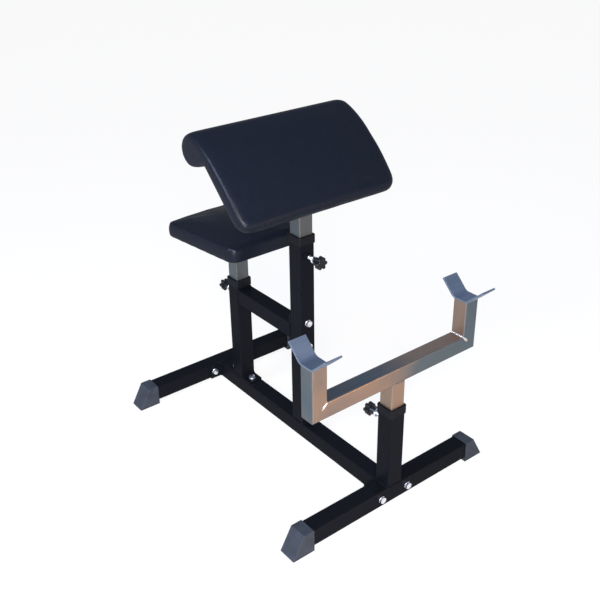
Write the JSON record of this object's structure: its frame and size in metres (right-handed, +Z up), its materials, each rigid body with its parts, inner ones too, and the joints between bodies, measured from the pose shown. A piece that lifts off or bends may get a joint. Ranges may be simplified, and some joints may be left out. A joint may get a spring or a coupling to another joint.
{
  "type": "preacher curl bench",
  "caption": "Free-standing preacher curl bench: square-tube floor frame with telescopic posts for a tapered seat, a sloping arm pad with rolled top edge and a bar rack.",
  "frame": {"origin": "on the floor, below the middle of the bench's bounding box", "axes": "+Z up, -Y towards the bar rack in front, +Y towards the seat behind, X across"},
  "size_m": [0.696, 0.9312, 0.961],
  "materials": {
    "frame_paint": "gloss",
    "bare_steel": "satin",
    "zinc": "satin",
    "cap_rubber": "matte",
    "black_plastic": "satin",
    "black_vinyl": "satin",
    "plywood": "matte"
  },
  "bodies": {
    "frame": {"front_foot_tube": "frame_paint", "rear_foot_tube": "frame_paint", "front_left_foot_cap": "cap_rubber", "front_right_foot_cap": "cap_rubber", "rear_left_foot_cap": "cap_rubber", "rear_right_foot_cap": "cap_rubber", "main_beam": "frame_paint", "front_beam_flange": "frame_paint", "rear_beam_flange": "frame_paint", "front_post": "frame_paint", "front_post_collar": "black_plastic", "pad_post": "frame_paint", "pad_post_collar": "black_plastic", "seat_post": "frame_paint", "seat_post_collar": "black_plastic", "upper_brace": "frame_paint", "brace_flange": "frame_paint", "seat_post_base_plate": "frame_paint", "frame_bolts": "zinc", "frame_washers": "zinc", "frame_lock_nuts": "zinc", "seat_post_bolts": "zinc", "seat_post_weld_nuts": "zinc", "clamp_weld_nuts": "frame_paint"},
    "rack": {"rack_slide_tube": "bare_steel", "rack_crossbar": "bare_steel", "rack_left_upright": "bare_steel", "rack_right_upright": "bare_steel", "left_bar_cradle": "bare_steel", "right_bar_cradle": "bare_steel"},
    "arm_pad": {"pad_slide_tube": "bare_steel", "pad_mount_plate": "frame_paint", "pad_board": "plywood", "pad_fixing_bolts": "zinc", "pad_fixing_washers": "zinc", "pad_tee_nuts": "zinc", "arm_pad_cushion": "black_vinyl"},
    "seat": {"seat_slide_tube": "bare_steel", "seat_mount_plate": "frame_paint", "seat_board": "plywood", "seat_fixing_bolts": "zinc", "seat_fixing_washers": "zinc", "seat_tee_nuts": "zinc", "seat_cushion": "black_vinyl"},
    "rack_clamp_carrier": {"rack_clamp_washer": "zinc"},
    "rack_clamp": {"rack_clamp_screw": "zinc", "rack_clamp_jam_nut": "zinc", "rack_clamp_knob": "black_plastic"},
    "pad_clamp_carrier": {"pad_clamp_washer": "zinc"},
    "pad_clamp": {"pad_clamp_screw": "zinc", "pad_clamp_jam_nut": "zinc", "pad_clamp_knob": "black_plastic"},
    "seat_clamp_carrier": {"seat_clamp_washer": "zinc"},
    "seat_clamp": {"seat_clamp_screw": "zinc", "seat_clamp_jam_nut": "zinc", "seat_clamp_knob": "black_plastic"}
  },
  "joints": [
    {"name": "rack_height", "type": "slide", "parent": "frame", "child": "rack", "axis": [0, 0, 1], "range_m": [-0.05, 0.05]},
    {"name": "pad_height", "type": "slide", "parent": "frame", "child": "arm_pad", "axis": [0, 0, 1], "range_m": [-0.05, 0.05]},
    {"name": "seat_height", "type": "slide", "parent": "frame", "child": "seat", "axis": [0, 0, 1], "range_m": [-0.1, 0.05]},
    {"name": "rack_clamp_travel", "type": "slide", "parent": "frame", "child": "rack_clamp_carrier", "axis": [0, 1, 0], "range_m": [-0.009, 0.0045]},
    {"name": "rack_clamp_turn", "type": "hinge", "parent": "rack_clamp_carrier", "child": "rack_clamp", "pos_m": [0, -0.33626, 0.254], "axis": [0, 1, 0], "range_deg": [-2161, 1081]},
    {"name": "pad_clamp_travel", "type": "slide", "parent": "frame", "child": "pad_clamp_carrier", "axis": [0, -1, 0], "range_m": [-0.009, 0.0045]},
    {"name": "pad_clamp_turn", "type": "hinge", "parent": "pad_clamp_carrier", "child": "pad_clamp", "pos_m": [0, -0.08346, 0.607], "axis": [0, -1, 0], "range_deg": [-2161, 1081]},
    {"name": "seat_clamp_travel", "type": "slide", "parent": "frame", "child": "seat_clamp_carrier", "axis": [0, 1, 0], "range_m": [-0.009, 0.0045]},
    {"name": "seat_clamp_turn", "type": "hinge", "parent": "seat_clamp_carrier", "child": "seat_clamp", "pos_m": [0, 0.34874, 0.357], "axis": [0, 1, 0], "range_deg": [-2161, 1081]}
  ],
  "couplings": [
    {"joint": "rack_clamp_turn", "follows": "rack_clamp_travel", "rad_per_m": 4188.8},
    {"joint": "pad_clamp_turn", "follows": "pad_clamp_travel", "rad_per_m": 4188.8},
    {"joint": "seat_clamp_turn", "follows": "seat_clamp_travel", "rad_per_m": 4188.8}
  ]
}
